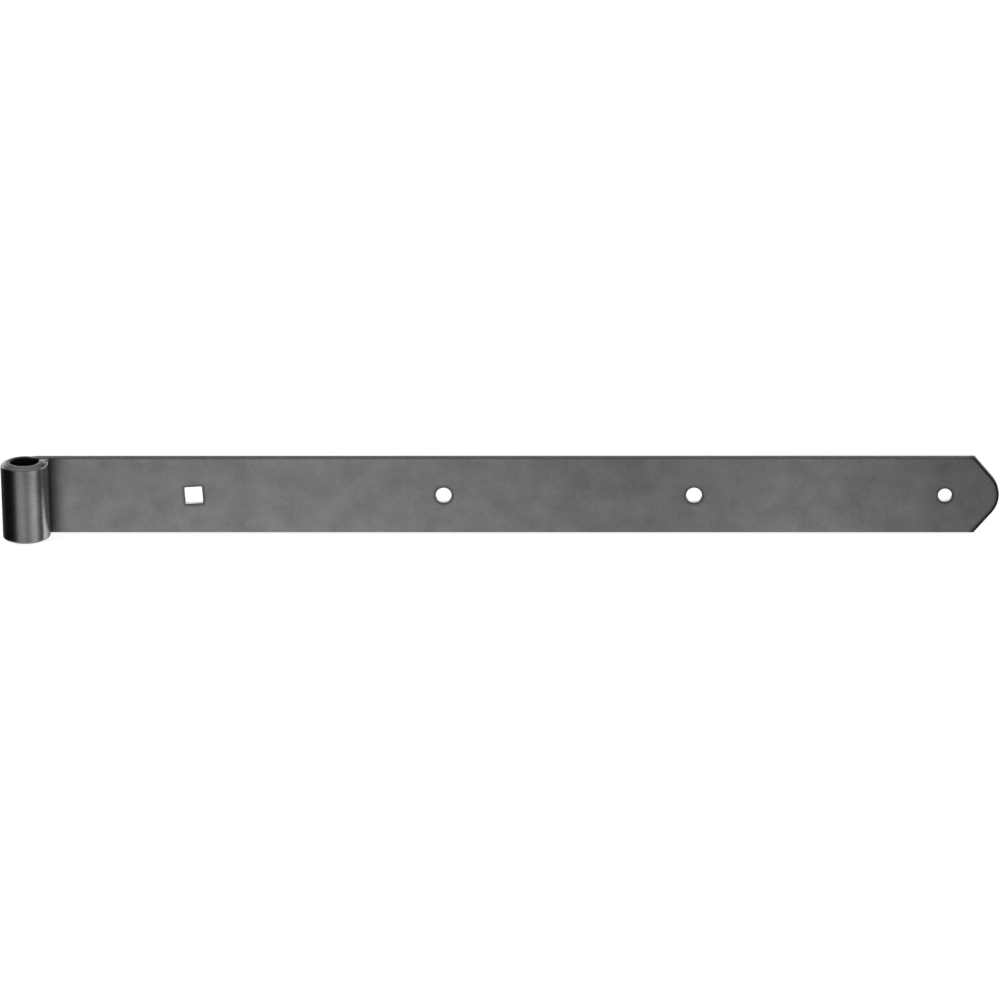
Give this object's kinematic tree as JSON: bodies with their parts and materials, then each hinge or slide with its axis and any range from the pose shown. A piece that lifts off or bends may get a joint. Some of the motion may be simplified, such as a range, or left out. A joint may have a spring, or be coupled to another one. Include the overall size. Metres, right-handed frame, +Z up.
{
  "type": "strap hinge leaf",
  "caption": "Flat steel strap leaf of a gate or door hinge, rolled at one end into an open-seamed eye that turns on an upright pintle pin, with bolt holes and a blunt pointed tip.",
  "frame": {"origin": "on the eye's axis, in the plane of the eye's lower bearing face", "axes": "+Z up along the eye's axis, +X along the strap to its tip, +Y out of the strap's flat back, which lies against the door; the eye is rolled towards -Y"},
  "size_m": [0.5091, 0.0242, 0.0412],
  "materials": {
    "steel": "grey mill-rolled flat bar with a thin zinc finish: satin, with fine lines along the bar, faint mottling and dark sheared edges"
  },
  "bodies": {
    "root": {"strap_leaf": "steel"}
  },
  "joints": []
}
